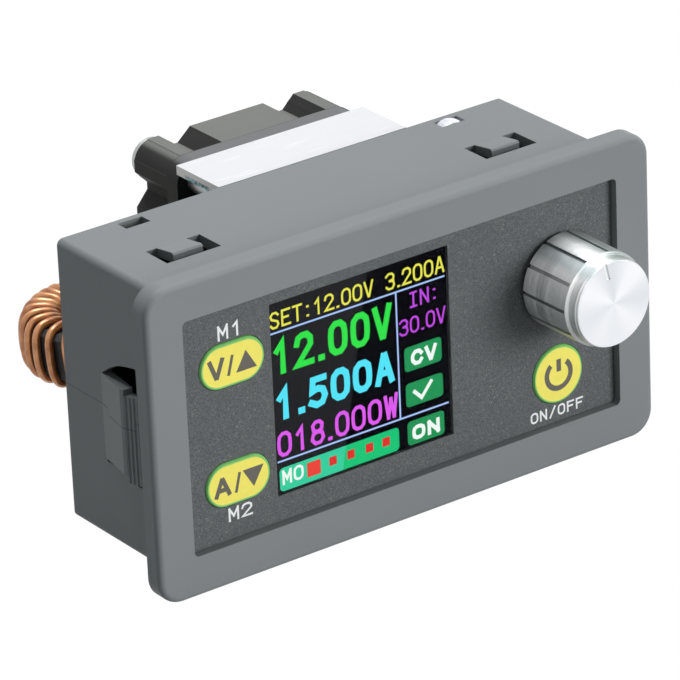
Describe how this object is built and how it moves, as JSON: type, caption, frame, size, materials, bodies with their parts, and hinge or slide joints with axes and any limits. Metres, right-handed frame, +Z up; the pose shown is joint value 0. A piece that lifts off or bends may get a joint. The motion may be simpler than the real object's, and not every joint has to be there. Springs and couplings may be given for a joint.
{
  "type": "panel-mount buck converter module",
  "caption": "Panel-mount step-down converter module: bezel with colour display, keys and rotary knob, boxed case, and heatsink, fan and inductor on its open back.",
  "frame": {"origin": "centre of the bezel's rear seating face, in the middle of the panel cut-out", "axes": "+X to the right seen from the front, +Y back through the panel, +Z up"},
  "size_m": [0.079, 0.0572, 0.043],
  "materials": {
    "housing_grey": "fine matte mould texture",
    "overlay_film": "grained matte film",
    "window_clear": "clear gloss",
    "lcd_glass": "gloss",
    "tray_white": "matte",
    "foam_grey": "matte",
    "key_yellow": "semi-gloss, green flank",
    "black_plastic": "matte",
    "switch_black": "matte",
    "zinc_plate": "die-cast",
    "steel": "bright nickel",
    "screw_black": "black oxide",
    "knob_aluminium": "turned, satin",
    "board_green": "solder mask",
    "chip_black": "matte",
    "gold_pin": "plated",
    "pad_teal": "soft matte",
    "sink_aluminium": "milled",
    "fan_black": "matte",
    "copper": "enamelled copper",
    "ferrite_grey": "matte",
    "sleeve_black": "shrink sleeve",
    "terminal_green": "matte",
    "glue_white": "translucent white"
  },
  "bodies": {
    "module": {"housing": "housing_grey", "face_overlay": "overlay_film", "display_window": "window_clear", "lcd_panel": "lcd_glass", "lcd_tray": "tray_white", "lcd_foam": "foam_grey", "tact_switches": "switch_black", "encoder_base": "switch_black", "encoder_cover": "zinc_plate", "control_board": "board_green", "control_chips": "chip_black", "board_screws": "steel", "link_header": "black_plastic", "link_socket": "black_plastic", "link_pins": "gold_pin", "power_board": "board_green", "mosfets": "chip_black", "thermal_pad": "pad_teal", "heatsink": "sink_aluminium", "fan_frame": "fan_black", "fan_stator": "copper", "fan_screws": "screw_black", "toroid_core": "ferrite_grey", "toroid_winding": "copper", "large_capacitor": "sleeve_black", "small_capacitors": "sleeve_black", "terminal_body": "terminal_green", "terminal_cages": "steel", "terminal_screws": "steel", "power_chips": "chip_black", "shunt_resistor": "chip_black", "glue_dab": "glue_white"},
    "volts_button": {"volts_key": "key_yellow", "volts_plunger": "black_plastic"},
    "amps_button": {"amps_key": "key_yellow", "amps_plunger": "black_plastic"},
    "power_button": {"power_key": "key_yellow", "power_plunger": "black_plastic"},
    "knob_press": {"encoder_plunger": "black_plastic"},
    "knob_turn": {"knob": "knob_aluminium", "knob_insert": "black_plastic", "encoder_shaft": "steel"},
    "rotor": {"fan_rotor": "fan_black"}
  },
  "joints": [
    {"name": "volts_push", "type": "slide", "parent": "module", "child": "volts_button", "axis": [0, 1, 0], "range_m": [0, 0.0004], "stiffness_N_per_m": 2000},
    {"name": "amps_push", "type": "slide", "parent": "module", "child": "amps_button", "axis": [0, 1, 0], "range_m": [0, 0.0004], "stiffness_N_per_m": 2000},
    {"name": "power_push", "type": "slide", "parent": "module", "child": "power_button", "axis": [0, 1, 0], "range_m": [0, 0.0004], "stiffness_N_per_m": 2000},
    {"name": "knob_push", "type": "slide", "parent": "module", "child": "knob_press", "axis": [0, 1, 0], "range_m": [0, 0.0003], "stiffness_N_per_m": 4000},
    {"name": "knob_spin", "type": "hinge", "parent": "knob_press", "child": "knob_turn", "pos_m": [0.0253, 0, 0.0045], "axis": [0, -1, 0], "continuous": true},
    {"name": "fan_spin", "type": "hinge", "parent": "module", "child": "rotor", "pos_m": [0.0054, 0.0386, 0.0038], "axis": [0, 1, 0], "continuous": true}
  ]
}
